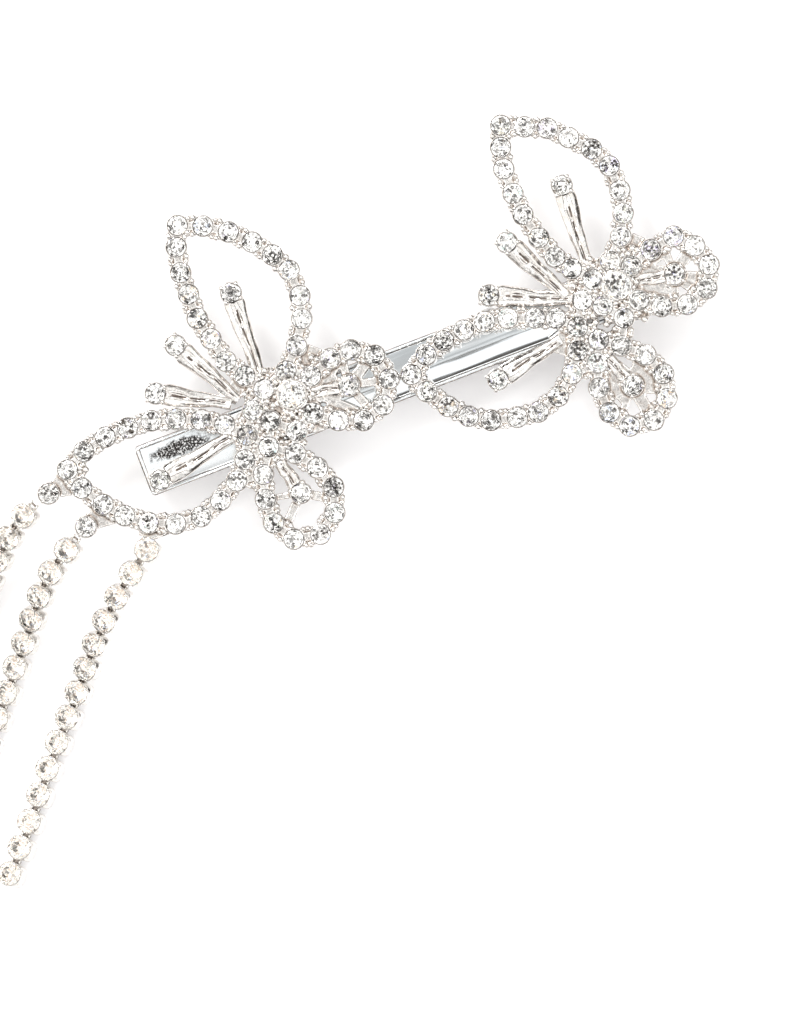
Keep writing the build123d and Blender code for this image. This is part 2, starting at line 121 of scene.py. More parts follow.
def lathe(b, profile, place, n=24, closed=True, mat=0, smooth=True):
    """Turns a (radius, height) profile about local Z. A closed profile makes a ring."""
    k = len(profile)
    verts = [(r * math.cos(2 * math.pi * i / n), r * math.sin(2 * math.pi * i / n), z) for i in range(n) for r, z in profile]
    faces = []
    for i in range(n):
        j = (i + 1) % n
        for a in range(k if closed else k - 1):
            c = (a + 1) % k
            faces.append((i * k + a, j * k + a, j * k + c, i * k + c))
    if not closed:
        if profile[0][0] > 1e-6:
            faces.append(tuple(i * k for i in range(n))[::-1])
        if profile[-1][0] > 1e-6:
            faces.append(tuple(i * k + k - 1 for i in range(n)))
    b.add(verts, faces, mat, smooth, place)


def ball(b, c, r, n=12, m=8, squash=1.0, mat=0, place=None):
    verts = [(0, 0, -r * squash)]
    for j in range(1, m):
        t = math.pi * j / m - math.pi / 2
        verts += [(r * math.cos(t) * math.cos(2 * math.pi * i / n), r * math.cos(t) * math.sin(2 * math.pi * i / n), r * squash * math.sin(t)) for i in range(n)]
    verts.append((0, 0, r * squash))
    faces = [(0, 1 + (i + 1) % n, 1 + i) for i in range(n)]
    for j in range(m - 2):
        for i in range(n):
            a, c2 = 1 + j * n + i, 1 + j * n + (i + 1) % n
            faces.append((a, c2, c2 + n, a + n))
    top = len(verts) - 1
    faces += [(top, top - n + i, top - n + (i + 1) % n) for i in range(n)]
    t = Matrix.Translation(Vector(c))
    b.add(verts, faces, mat, True, (place @ t) if place is not None else t)


def tube(b, pts, radii, n=10, mat=0, up=(0, 0, 1), flat=1.0, place=None, caps=True):
    """Round bar through points with a radius at each; flat squeezes it along its local up axis."""
    pts = [Vector(p) for p in pts]
    verts, k = [], len(pts)
    for i, p in enumerate(pts):
        d = (pts[min(i + 1, k - 1)] - pts[max(i - 1, 0)]).normalized()
        u = Vector(up) - d * d.dot(Vector(up))
        if u.length < 1e-4:
            u = Vector((1, 0, 0)) - d * d.x
        u.normalize()
        s = d.cross(u)
        for a in range(n):
            t = 2 * math.pi * a / n
            verts.append(p + (s * math.cos(t) + u * math.sin(t) * flat) * radii[i])
    faces = []
    for i in range(k - 1):
        for a in range(n):
            c = (a + 1) % n
            faces.append((i * n + a, i * n + c, (i + 1) * n + c, (i + 1) * n + a))
    if caps:
        faces += [tuple(range(n))[::-1], tuple(range((k - 1) * n, k * n))]
    b.add(verts, faces, mat, True, place)


def slab(b, p, q, w, z0, z1, mat=0):
    """Flat bar from p to q in plan."""
    p, q = Vector(p), Vector(q)
    d = (q - p).normalized()
    n = Vector((-d.y, d.x)) * w / 2
    c = [p + n, q + n, q - n, p - n]
    verts = [(a.x, a.y, z0) for a in c] + [(a.x, a.y, z1) for a in c]
    b.add(verts, [(0, 1, 2, 3), (7, 6, 5, 4), (0, 4, 5, 1), (1, 5, 6, 2), (2, 6, 7, 3), (3, 7, 4, 0)], mat, False)


def remeshed(b, voxel, name, smooth=3):
    """One watertight skin round everything in b. Voxels are in millimetres."""
    me = b.mesh(name + "_raw", 1.0)
    o = bpy.data.objects.new(name + "_raw", me)
    bpy.context.scene.collection.objects.link(o)
    m = o.modifiers.new("skin", "REMESH")
    m.mode, m.voxel_size, m.adaptivity, m.use_smooth_shade = "VOXEL", voxel, 0.0, True
    if smooth:
        s = o.modifiers.new("soften", "SMOOTH")
        s.factor, s.iterations = 0.5, smooth
    out = bpy.data.meshes.new_from_object(o.evaluated_get(bpy.context.evaluated_depsgraph_get()))
    bpy.data.objects.remove(o)
    bpy.data.meshes.remove(me)
    verts = [tuple(v.co) for v in out.vertices]
    faces = [tuple(p.vertices) for p in out.polygons]
    bpy.data.meshes.remove(out)
    return verts, faces


# ------------------------------------------------------------------ materials
def material(name):
    m = bpy.data.materials.new(name)
    m.use_nodes = True
    nt = m.node_tree
    nt.nodes.clear()
    out = nt.nodes.new("ShaderNodeOutputMaterial")
    p = nt.nodes.new("ShaderNodeBsdfPrincipled")
    nt.links.new(p.outputs["BSDF"], out.inputs["Surface"])
    return m, nt, p


def ramp(nt, fac, stops):
    r = nt.nodes.new("ShaderNodeValToRGB")
    e = r.color_ramp.elements
    while len(e) < len(stops):
        e.new(0.5)
    for el, (pos, col) in zip(e, stops):
        el.position = pos
        el.color = (*col, 1.0) if len(col) == 3 else col
    nt.links.new(fac, r.inputs["Fac"])
    return r.outputs["Color"]


def noise(nt, vec, scale, detail=3.0, rough=0.5, dist=0.0):
    n = nt.nodes.new("ShaderNodeTexNoise")
    n.inputs["Scale"].default_value = scale
    n.inputs["Detail"].default_value = detail
    n.inputs["Roughness"].default_value = rough
    n.inputs["Distortion"].default_value = dist
    nt.links.new(vec, n.inputs["Vector"])
    return n.outputs["Fac"]


def coords(nt, stretch=(1, 1, 1)):
    """Object coordinates counted in millimetres."""
    c = nt.nodes.new("ShaderNodeTexCoord")
    m = nt.nodes.new("ShaderNodeMapping")
    m.inputs["Scale"].default_value = [1000 * s for s in stretch]
    nt.links.new(c.outputs["Object"], m.inputs["Vector"])
    return m.outputs["Vector"]


def remap(nt, fac, lo, hi):
    r = nt.nodes.new("ShaderNodeMapRange")
    r.inputs["To Min"].default_value, r.inputs["To Max"].default_value = lo, hi
    nt.links.new(fac, r.inputs["Value"])
    return r.outputs["Result"]


def bump(nt, height, strength, distance, prev=None):
    b = nt.nodes.new("ShaderNodeBump")
    b.inputs["Strength"].default_value = strength
    b.inputs["Distance"].default_value = distance
    nt.links.new(height, b.inputs["Height"])
    if prev is not None:
        nt.links.new(prev, b.inputs["Normal"])
    return b.outputs["Normal"]


def metal(name, light, dark, rough, wave=1.6, grain=14.0, wave_mm=0.04, grain_mm=0.006, stretch=(1, 1, 1), hollow_shade=None):
    m, nt, p = material(name)
    vec = coords(nt, stretch)
    big, small = noise(nt, vec, wave, 2.0), noise(nt, vec, grain, 4.0, 0.6)
    colour = ramp(nt, big, [(0.35, dark), (0.62, light)])
    # painted shade: concave spots, read from pointiness, are multiplied towards a dark warm brown, standing in for the
    # shade in crevices and between beads
    if hollow_shade:
        geo = nt.nodes.new("ShaderNodeNewGeometry")
        shade = ramp(nt, geo.outputs["Pointiness"], [(0.44, hollow_shade), (0.484, (0.62, 0.57, 0.53)), (0.498, (1, 1, 1)), (1.0, (1, 1, 1))])
        mx = nt.nodes.new("ShaderNodeMix")
        mx.data_type, mx.blend_type = "RGBA", "MULTIPLY"
        mx.inputs["Factor"].default_value = 1.0
        nt.links.new(colour, mx.inputs[6])
        nt.links.new(shade, mx.inputs[7])
        colour = mx.outputs[2]
    nt.links.new(colour, p.inputs["Base Color"])
    p.inputs["Metallic"].default_value = 1.0
    nt.links.new(remap(nt, small, *rough), p.inputs["Roughness"])
    n1 = bump(nt, big, 1.0, wave_mm * MM)
    nt.links.new(bump(nt, small, 1.0, grain_mm * MM, n1), p.inputs["Normal"])
    return m


# the cast skin carries painted shade in its hollows, in a dark warm brown
CAST = metal("cast_silver_plate", (0.87, 0.85, 0.83), (0.715, 0.68, 0.65), (0.05, 0.17), wave=1.3, grain=9.0, wave_mm=0.10, grain_mm=0.012, hollow_shade=(0.16, 0.12, 0.10))
PLATE = metal("cast_silver_bright", (0.90, 0.88, 0.86), (0.735, 0.70, 0.668), (0.04, 0.15), wave=1.1, grain=8.0, wave_mm=0.08, grain_mm=0.010)
SHADE = metal("seat_shade", (0.20, 0.165, 0.14), (0.07, 0.055, 0.05), (0.35, 0.6), wave=3.0, grain=12.0, wave_mm=0.03, grain_mm=0.01)
# painted shade: a dark taupe finish for outlines and connectors that stand in shade
LINK_SHADE = metal("link_shade", (0.42, 0.37, 0.33), (0.12, 0.10, 0.09), (0.18, 0.4), wave=2.4, grain=12.0, wave_mm=0.03, grain_mm=0.01)
CUP = metal("chain_cup_plate", (0.86, 0.845, 0.82), (0.72, 0.69, 0.655), (0.08, 0.22), wave=1.8, grain=12.0, wave_mm=0.05, grain_mm=0.01)
MIRROR = metal("mirror_bar", (0.88, 0.92, 0.945), (0.86, 0.885, 0.90), (0.03, 0.10), wave=0.5, grain=5.0, wave_mm=0.05, grain_mm=0.001, stretch=(0.12, 1, 1))


def reflection_flecks_end(m):
    """Painted reflection near the bar's free end: fine dark flecks in a long patch stand in for the shaded underside of
    the arm and stones mirrored in the polished bar.
    """
    nt = m.node_tree
    p = next(n for n in nt.nodes if n.type == "BSDF_PRINCIPLED")
    old = p.inputs["Base Color"].links[0].from_socket
    tc = nt.nodes.new("ShaderNodeTexCoord")
    mp = nt.nodes.new("ShaderNodeMapping")
    mp.inputs["Location"].default_value = (-(4.9 + SX) / 3.9, -(1.15 + SY) / 1.05, 0)
    mp.inputs["Scale"].default_value = (1000 / 3.9, 1000 / 1.05, 0.0)
    nt.links.new(tc.outputs["Object"], mp.inputs["Vector"])
    ln = nt.nodes.new("ShaderNodeVectorMath")
    ln.operation = "LENGTH"
    nt.links.new(mp.outputs["Vector"], ln.inputs[0])
    vec = coords(nt)
    add = nt.nodes.new("ShaderNodeMath")
    add.operation = "ADD"
    nt.links.new(ln.outputs["Value"], add.inputs[0])
    nt.links.new(remap(nt, noise(nt, vec, 1.6, 3.0), -0.45, 0.45), add.inputs[1])
    mask = ramp(nt, add.outputs[0], [(0.0, (1, 1, 1)), (0.72, (1, 1, 1)), (1.0, (0, 0, 0))])
    # painted reflection: near-black flecks in the base colour, masked to the long patch
    reflected_fleck = ramp(nt, noise(nt, vec, 5.0, 3.0, 0.7), [(0.0, (0.015, 0.013, 0.012)), (0.52, (0.03, 0.027, 0.025)), (0.60, (0.9, 0.9, 0.9)), (1.0, (0.95, 0.95, 0.95))])
    mx = nt.nodes.new("ShaderNodeMix")
    mx.data_type = "RGBA"
    nt.links.new(mask, mx.inputs["Factor"])
    nt.links.new(old, mx.inputs[6])
    nt.links.new(reflected_fleck, mx.inputs[7])
    nt.links.new(mx.outputs[2], p.inputs["Base Color"])
    # duller plating round the flecks
    was = p.inputs["Roughness"].links[0].from_socket
    sp = nt.nodes.new("ShaderNodeSeparateXYZ")
    nt.links.new(coords(nt), sp.inputs["Vector"])
    mr = nt.nodes.new("ShaderNodeMapRange")
    mr.inputs["From Min"].default_value, mr.inputs["From Max"].default_value = SX + 9.5, SX + 16.0
    mr.inputs["To Min"].default_value, mr.inputs["To Max"].default_value = 0.20, 0.0
    nt.links.new(sp.outputs["X"], mr.inputs["Value"])
    off = nt.nodes.new("ShaderNodeMath")
    off.operation = "SUBTRACT"
    nt.links.new(sp.outputs["Y"], off.inputs[0])
    off.inputs[1].default_value = SY
    dist = nt.nodes.new("ShaderNodeMath")
    dist.operation = "ABSOLUTE"
    nt.links.new(off.outputs[0], dist.inputs[0])
    face = nt.nodes.new("ShaderNodeMapRange")
    face.inputs["From Min"].default_value, face.inputs["From Max"].default_value = 2.40, 2.50
    face.inputs["To Min"].default_value, face.inputs["To Max"].default_value = 1.0, 0.0
    nt.links.new(dist.outputs[0], face.inputs["Value"])
    dull = nt.nodes.new("ShaderNodeMath")
    dull.operation = "MULTIPLY"
    nt.links.new(mr.outputs["Result"], dull.inputs[0])
    nt.links.new(face.outputs["Result"], dull.inputs[1])
    ad = nt.nodes.new("ShaderNodeMath")
    ad.operation = "ADD"
    nt.links.new(was, ad.inputs[0])
    nt.links.new(dull.outputs[0], ad.inputs[1])
    nt.links.new(ad.outputs[0], p.inputs["Roughness"])


reflection_flecks_end(MIRROR)
CLIP = metal("clip_steel", (0.66, 0.655, 0.65), (0.47, 0.46, 0.45), (0.10, 0.26), wave=0.8, grain=18.0, wave_mm=0.03, grain_mm=0.006, stretch=(0.3, 1, 1))
WIRE = metal("spring_wire", (0.78, 0.77, 0.76), (0.62, 0.61, 0.60), (0.2, 0.38), wave=2.5, grain=30.0, wave_mm=0.01, grain_mm=0.008)
SOLDER = metal("solder", (0.80, 0.80, 0.81), (0.60, 0.59, 0.58), (0.28, 0.5), wave=1.4, grain=7.0, wave_mm=0.12, grain_mm=0.03)


def crystal(name, tint, cool):
    m, nt, p = material(name)
    vec = coords(nt)
    nt.links.new(ramp(nt, noise(nt, vec, 0.9, 1.0), [(0.38, tint), (0.60, cool)]), p.inputs["Base Color"])
    p.inputs["Transmission Weight"].default_value = 1.0
    p.inputs["IOR"].default_value = 1.62
    nt.links.new(remap(nt, noise(nt, vec, 6.0, 2.0), 0.0, 0.012), p.inputs["Roughness"])
    return m


def foil(name, warm=1.0, rough=(0.0, 0.06), deep=(0.10, 0.095, 0.09), mid=(0.42, 0.41, 0.40), shine=1.0):
    """Silver foil behind the pavilion, its colour painted cell by cell: dark and grey cells are painted reflection
    standing in for the dark shards cut stones show, and rare tinted cells are painted glints standing in for the
    flashes of colour that cut glass throws.
    """
    m, nt, p = material(name)
    vec = coords(nt)
    v = nt.nodes.new("ShaderNodeTexVoronoi")
    v.inputs["Scale"].default_value = 3.0
    nt.links.new(vec, v.inputs["Vector"])
    sep = nt.nodes.new("ShaderNodeSeparateColor")
    nt.links.new(v.outputs["Color"], sep.inputs["Color"])
    # painted reflection: most cells bright, some grey and a few near black, standing in for the dark shards seen in cut
    # stones
    grey = ramp(nt, sep.outputs["Red"], [(0.0, deep), (0.12, mid), (0.19, (0.95, 0.945, 0.94 * warm)), (1.0, (0.99, 0.985, 0.98 * warm))])
    # painted glints: a few cells tinted blue, violet, orange and cyan, standing in for the fire of cut glass
    painted_glint_hue = ramp(nt, sep.outputs["Green"], [(0.0, (1, 1, 1)), (0.955, (1, 1, 1)), (0.962, (0.74, 0.82, 1.0)), (0.972, (0.84, 0.78, 1.0)), (0.98, (1, 1, 1)), (0.99, (1.0, 0.86, 0.70)), (1.0, (0.78, 0.95, 0.97))])
    mix = nt.nodes.new("ShaderNodeMix")
    mix.data_type, mix.blend_type = "RGBA", "MULTIPLY"
    mix.inputs["Factor"].default_value = 1.0
    nt.links.new(grey, mix.inputs[6])
    nt.links.new(painted_glint_hue, mix.inputs[7])
    nt.links.new(mix.outputs[2], p.inputs["Base Color"])
    p.inputs["Metallic"].default_value = shine
    nt.links.new(remap(nt, noise(nt, vec, 4.0, 2.0), *rough), p.inputs["Roughness"])
    return m


GLASS, FOIL = crystal("clear_crystal", (0.99, 0.985, 0.975), (1.0, 1.0, 0.995)), foil("stone_foil", 1.0, (0.0, 0.05), (0.05, 0.045, 0.042), (0.36, 0.35, 0.34))
WARM_GLASS, WARM_FOIL = crystal("chain_crystal", (1.0, 0.965, 0.93), (1.0, 0.99, 0.975)), foil("chain_foil", 0.985, (0.05, 0.10), (0.66, 0.56, 0.48), (0.99, 0.93, 0.88))


# ------------------------------------------------------------------ cut stones
def gem(r, table=0.56, crown=0.36, pavilion=0.85, girdle=0.05, rm=0.80, rn=0.42):
    """Brilliant cut: (vertices, faces, material index). Widest at z = 0."""
    rt, hc, hp = r * table, r * crown, r * pavilion
    c = math.cos(math.pi / 8)
    zm = hc * (r - r * rm * c) / (r - rt)
    zn = -hp + (hp - girdle) * rn * c
    v, f, m = [], [], []
    def ring(rad, z, turn, n=8):
        s = len(v)
        v.extend([(rad * math.cos(2 * math.pi * (i + turn) / n), rad * math.sin(2 * math.pi * (i + turn) / n), z) for i in range(n)])
        return s
    T, M = ring(rt, hc, 0), ring(r * rm, zm, 0.5)
    G, L = ring(r, 0.0, 0, 16), ring(r, -girdle, 0, 16)
    N = ring(r * rn, zn, 0.5)
    P = len(v)
    v.append((0, 0, -hp))
    f.append(tuple(T + i for i in range(8)))
    for k in range(8):
        n, pv = (k + 1) % 8, (k - 1) % 8
        g, h, g2 = 2 * k, 2 * k + 1, (2 * k + 2) % 16
        f += [(T + k, M + k, T + n), (T + k, M + pv, G + g, M + k), (M + k, G + g, G + h), (M + k, G + h, G + g2)]
    f += [(G + i, L + i, L + (i + 1) % 16, G + (i + 1) % 16) for i in range(16)]
    m = [0] * len(f)
    for k in range(8):
        n, pv = (k + 1) % 8, (k - 1) % 8
        g, h, g2 = 2 * k, 2 * k + 1, (2 * k + 2) % 16
        low = [(P, N + k, L + g, N + pv), (N + k, L + h, L + g), (N + k, L + g2, L + h)]
        f += low
        m += [1] * len(low)
    return v, f, m


def add_gem(b, centre, r, rng, up=(0, 0, 1), lean=5.0, **cut):
    v, f, m = gem(r * (1 + rng.uniform(-0.015, 0.015)), crown=rng.uniform(0.33, 0.40), pavilion=rng.uniform(0.80, 0.92), table=rng.uniform(0.52, 0.60), **cut)
    tilt = Vector(up) + Vector((rng.uniform(-1, 1), rng.uniform(-1, 1), 0)) * math.tan(math.radians(lean))
    place = at(centre, Vector((math.cos(rng.uniform(0, 6.3)), math.sin(rng.uniform(0, 6.3)), 0.01)), tilt) @ Matrix.Rotation(rng.uniform(0, math.pi / 4), 4, "Z")
    b.add(v, f, m, False, place)


def centres(node):
    """Middle of every separate solid in a CAD node, in row millimetres."""
    me = NODES[node].data
    key, parent = {}, []
    def find(i):
        while parent[i] != i:
            parent[i] = parent[parent[i]]
            i = parent[i]
        return i
    ids = []
    for v in me.vertices:
        k = tuple(round(c * 1e6) for c in v.co)
        if k not in key:
            key[k] = len(parent)
            parent.append(key[k])
        ids.append(key[k])
    for p in me.polygons:
        vs = [find(ids[i]) for i in p.vertices]
        for a in vs[1:]:
            parent[find(a)] = find(vs[0])
    boxes = {}
    for v, i in zip(me.vertices, ids):
        boxes.setdefault(find(i), []).append(v.co * 1000)
    out = []
    for pts in boxes.values():
        out.append(Vector([(min(p[c] for p in pts) + max(p[c] for p in pts)) / 2 for c in range(3)]))
    return sorted(out, key=lambda p: (round(p.x, 3), round(p.y, 3)))


# ------------------------------------------------------------------ cast butterflies
Z0, SHOULDER, RIM = 6.9, 7.7, 8.12
GIRDLE = 8.04
STONE_R, CENTRE_R, CHAIN_R = 1.12, 1.52, 1.37
ARMS = {
    "left": [((16.62, 15.4), (16.31, 5.89)), ((8.6, 12.11), (12.58, 4.68)), ((4.55, 7.81), (11.23, 4.21)),
             ((1.52, -1.56), (11.27, 0.18)), ((25.33, 0.8), (20.6, 1.6)), ((15.91, -8.66), (14.9, -4.5))],
    "right": [((56.1, 13.31), (55.56, 4.39)), ((47.95, 9.54), (51.62, 2.36)), ((43.89, 4.65), (51.81, 1.17)),
              ((41.47, -4.66), (48.7, -3.2)), ((64.44, -0.7), (60.0, 0.2)), ((55.48, -10.76), (53.97, -6.84))]}
WEBS = {
    "left": [((-10.9, 1.55), (-7.91, 3.3), 1.5), ((-10.9, 1.55), (-7.15, 0.77), 1.3), ((-8.29, -3.51), (-5.54, -1.83), 1.8),
             ((-8.29, -3.51), (-3.72, -3.89), 1.2), ((-2.2, -7.0), (-1.52, -5.61), 1.9), ((-2.2, -7.2), (1.0, -7.3), 0.9),
             ((11.23, 4.21), (12.58, 4.68), 1.8), ((12.58, 4.68), (14.73, 6.03), 1.8), ((11.27, 0.18), (14.18, 2.07), 2.0),
             ((15.91, -8.66), (11.88, -7.9), 0.8), ((15.91, -8.66), (12.54, -12.0), 1.1), ((15.91, -8.66), (19.2, -10.7), 1.1),
             ((25.33, 0.8), (29.91, -0.15), 1.0), ((25.33, 0.8), (25.8, 4.45), 1.0), ((25.33, 0.8), (26.9, -3.1), 1.0),
             ((20.4, 1.7), (24.6, 1.0), 2.6), ((21.6, 1.4), (25.6, 4.0), 1.2), ((25.33, 0.8), (28.6, 2.8), 1.3), ((21.6, 1.2), (25.2, -2.4), 1.1)],
    "right": [((51.81, 1.17), (53.6, 0.34), 1.8), ((51.62, 2.36), (53.6, 0.34), 1.8), ((48.7, -3.2), (51.08, -4.88), 1.8), ((48.7, -3.2), (52.04, -2.33), 1.8),
              ((55.48, -10.76), (51.79, -9.64), 1.6), ((55.48, -10.76), (52.7, -13.9), 0.9), ((55.48, -10.76), (58.9, -12.2), 1.8), ((55.48, -10.76), (58.13, -8.07), 2.0),
             ((64.44, -0.7), (67.9, -2.3), 1.1), ((64.44, -0.7), (64.4, 3.2), 1.0), ((64.44, -0.7), (63.2, -4.0), 1.0), ((60.0, 0.2), (63.5, -0.5), 2.6), ((60.2, 1.0), (64.4, 2.2), 1.3), ((60.2, -0.9), (63.4, -2.6), 1.3),
              ((64.44, -0.7), (66.9, 1.2), 1.5), ((64.44, -0.7), (66.2, -3.4), 1.4), ((53.9, -8.0), (55.48, -10.76), 2.6), ((55.48, -10.76), (56.0, -13.9), 1.5), ((55.48, -10.76), (57.9, -10.4), 1.6),
              ((53.2, -9.2), (54.2, -12.4), 1.3)]}
LUGS = {"left": [(-10.9, 1.55), (-8.29, -3.51)], "right": []}


def plan(p):
    return Vector((p[0] + SX, p[1] + SY))


def hidden(p, holes):
    """True if a plan point lies inside a stone seat."""
    return any((p - c).length < r for c, r in holes)


def short_bar(b, p, q, w, z0, z1, holes):
    """Bar from p to q, left out where it would cross a stone seat."""
    p, q = Vector(p), Vector(q)
    n = max(4, int((q - p).length / 0.12))
    run = []
    for i in range(n + 1):
        c = p.lerp(q, i / n)
        if not hidden(c, holes):
            run.append(c)
        elif len(run) > 1:
            slab(b, run[0], run[-1], w, z0, z1)
            run = []
        else:
            run = []
    if len(run) > 1:
        slab(b, run[0], run[-1], w, z0, z1)


def arm(b, p, q, rng):
    """Fluted cast arm, narrow at the body (q) and wide under its stone (p), with a broken groove along it."""
    p, q = Vector(p), Vector(q)
    d = (p - q).normalized()
    n = Vector((-d.y, d.x))
    length = (p - q).length
    if length > 5:
        q = q - d * 1.1
    end = p - d * 0.95
    k = 36 if length > 5 else 16
    wide = 1.36 if length > 5 else 0.95
    cols = [-1.0, -1.0, -0.86, -0.66, -0.45, -0.25, -0.10, 0.10, 0.25, 0.45, 0.66, 0.86, 1.0, 1.0]
    verts, faces, mats = [], [], []
    ph = [rng.uniform(0, 6.3) for _ in range(4)]
    for i in range(k + 1):
        t = i / k
        c = q.lerp(end, t) + n * 0.05 * math.sin(9 * t + ph[0])
        w = 0.74 + (wide - 0.74) * t ** 1.6 + 0.03 * math.sin(t * 17 + ph[1])
        if t > 0.93:
            w *= 1 - 1.6 * (t - 0.93)
        depth = 0.55 * min(1.0, 5 * t) * min(1.0, 5 * (1 - t) + 0.1) * (0.75 + 0.25 * math.sin(31 * t + ph[2]))
        for j, a in enumerate(cols):
            if j in (0, len(cols) - 1):
                z = 0.0
            else:
                z = 1.12 - 0.42 * abs(a) ** 3.0
                z -= depth * math.exp(-((a - 0.10 * math.sin(11 * t + ph[3])) / 0.17) ** 2)
                z += 0.05 * math.sin(9 * a + 6 * t + ph[1]) * min(1.0, 4 * (1 - t))
            pt = c + n * a * w
            verts.append((pt.x, pt.y, Z0 + z))
    m = len(cols)
    for i in range(k):
        for j in range(m):
            faces.append((i * m + j, i * m + (j + 1) % m, (i + 1) * m + (j + 1) % m, (i + 1) * m + j))
            # painted shade: most of the groove floor takes the dark seat finish in broken runs, standing in for the
            # shade in the groove
            dark = j == 6 and 0.06 < i / k < 0.88 and math.sin(23 * i / k + ph[0]) + 0.6 * math.sin(41 * i / k + ph[2]) > -0.75
            mats.append(1 if dark else 0)
    faces += [tuple(range(m))[::-1], tuple(range(k * m, k * m + m))]
    mats += [0, 0]
    b.add(verts, faces, mats)


def claw(b, c, out, z0, z1, r, reach):
    """Small claw that rises beside a stone at c and bends in over it."""
    o = Vector(out)
    base = Vector((c.x, c.y, 0))
    pts = [base + Vector((o.x, o.y, 0)) * d + Vector((0, 0, z)) for d, z in ((reach + 0.16, z0), (reach + 0.14, z1 - 0.28), (reach + 0.02, z1 - 0.06), (reach - 0.16, z1 + 0.05))]
    tube(b, pts, [r * 1.15, r * 1.05, r, r * 0.8], 10)
    ball(b, pts[-1], r * 0.86, 10, 6)


